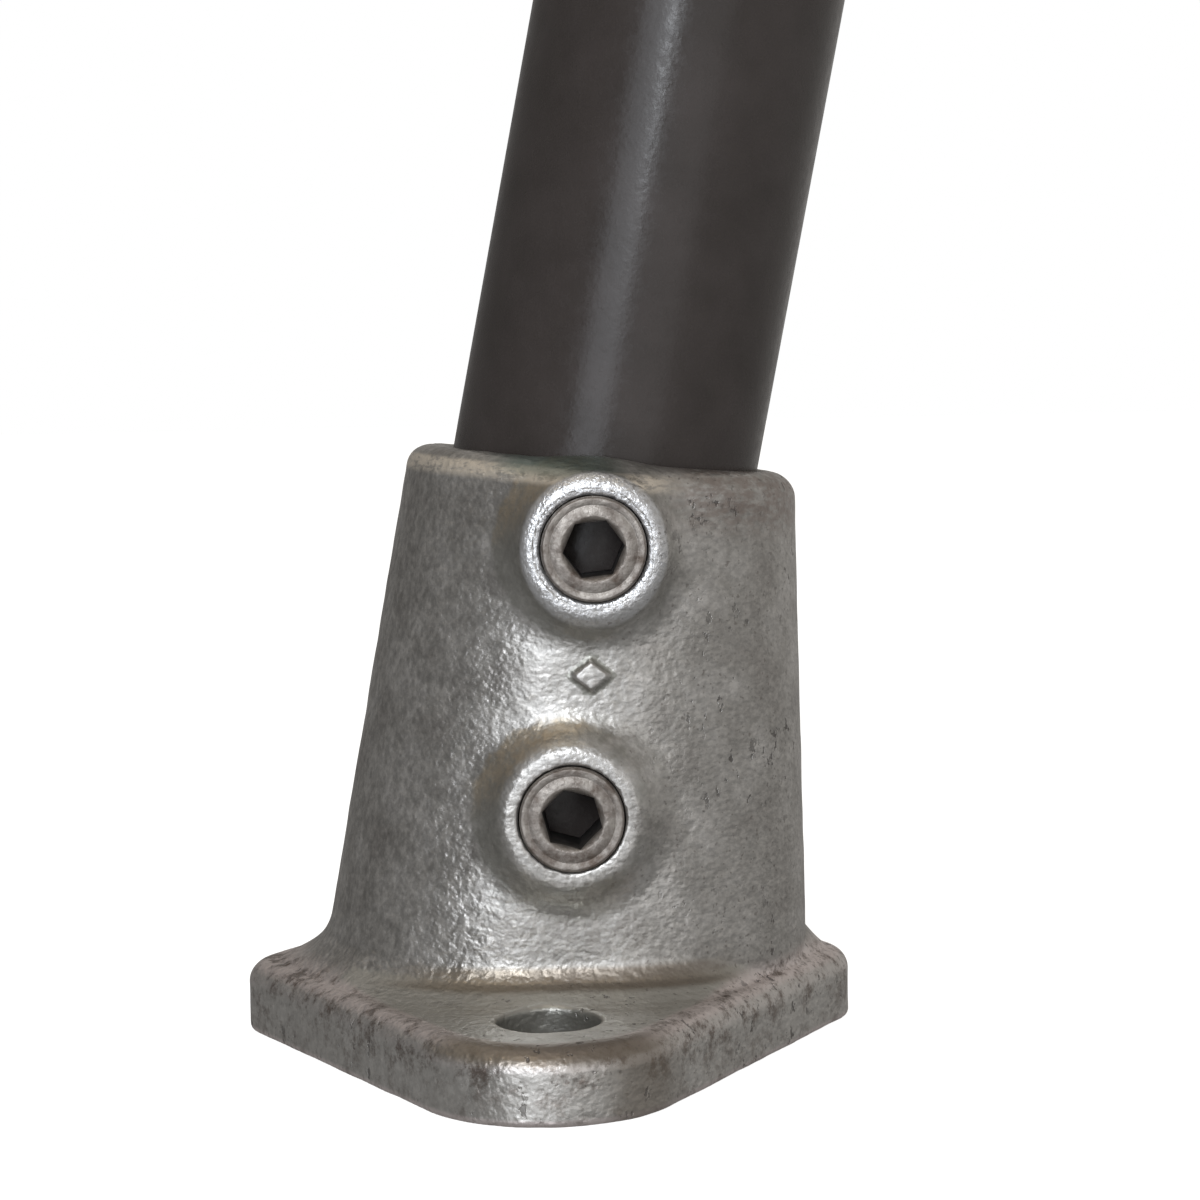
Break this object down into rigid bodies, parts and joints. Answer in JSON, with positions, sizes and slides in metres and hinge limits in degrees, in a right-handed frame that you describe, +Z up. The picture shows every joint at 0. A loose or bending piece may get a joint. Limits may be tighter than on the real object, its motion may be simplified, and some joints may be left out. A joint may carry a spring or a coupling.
{
  "type": "sloping tube-clamp stanchion base",
  "caption": "Galvanised stanchion base with a diamond flange and a sloping socket, clamping a leaning upright tube with hollow set screws.",
  "frame": {"origin": "centre of the flange on its underside, midway between the two fixing holes", "axes": "+Z up, square to the ground face; +X the side the upright leans to; -Y the side with the two set screws"},
  "size_m": [0.1006, 0.131, 0.1828],
  "materials": {
    "galvanised_iron": "hot-dip galvanised, lumpy satin",
    "screw_steel": "turned satin",
    "tube_coating": "satin powder coat"
  },
  "bodies": {
    "base": {"base_casting": "galvanised_iron"},
    "upper_screw": {"upper_set_screw": "screw_steel"},
    "lower_screw": {"lower_set_screw": "screw_steel"},
    "upright": {"upright_tube": "tube_coating"}
  },
  "joints": [
    {"name": "upper_screw_travel", "type": "slide", "parent": "base", "child": "upper_screw", "axis": [0, -1, 0], "range_m": [0, 0.008]},
    {"name": "lower_screw_travel", "type": "slide", "parent": "base", "child": "lower_screw", "axis": [0, -1, 0], "range_m": [0, 0.008]},
    {"name": "upright_lean", "type": "hinge", "parent": "base", "child": "upright", "pos_m": [0.0102, 0, 0.0879], "axis": [0, 1, 0], "range_deg": [-11.5, 0]}
  ]
}
